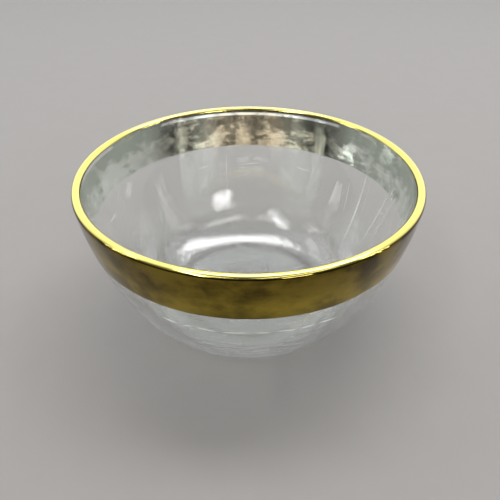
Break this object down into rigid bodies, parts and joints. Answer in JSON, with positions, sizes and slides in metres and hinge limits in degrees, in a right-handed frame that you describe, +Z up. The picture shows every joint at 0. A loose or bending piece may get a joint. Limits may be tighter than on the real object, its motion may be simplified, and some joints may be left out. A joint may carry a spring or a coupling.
{
  "type": "glass bowl",
  "caption": "Round clear glass bowl of even wall, with a flat foot and a rounded lip; a gold coat over a mirror coat wraps the lip and a broad band on the outside.",
  "frame": {"origin": "centre of the standing foot, on the surface the bowl stands on", "axes": "+Z up along the bowl's axis of revolution; X and Y are equivalent"},
  "size_m": [0.1254, 0.1254, 0.059],
  "materials": {
    "clear_glass": "clear, faint green-grey tint, fine draw lines running from lip to foot",
    "mirror_coat": "silvered, seen through the glass from inside",
    "gold_coat": "polished gold lacquer, faintly clouded on the band"
  },
  "bodies": {
    "root": {"glass_bowl": "clear_glass", "mirror_coat": "mirror_coat", "gold_coat": "gold_coat"}
  },
  "joints": []
}
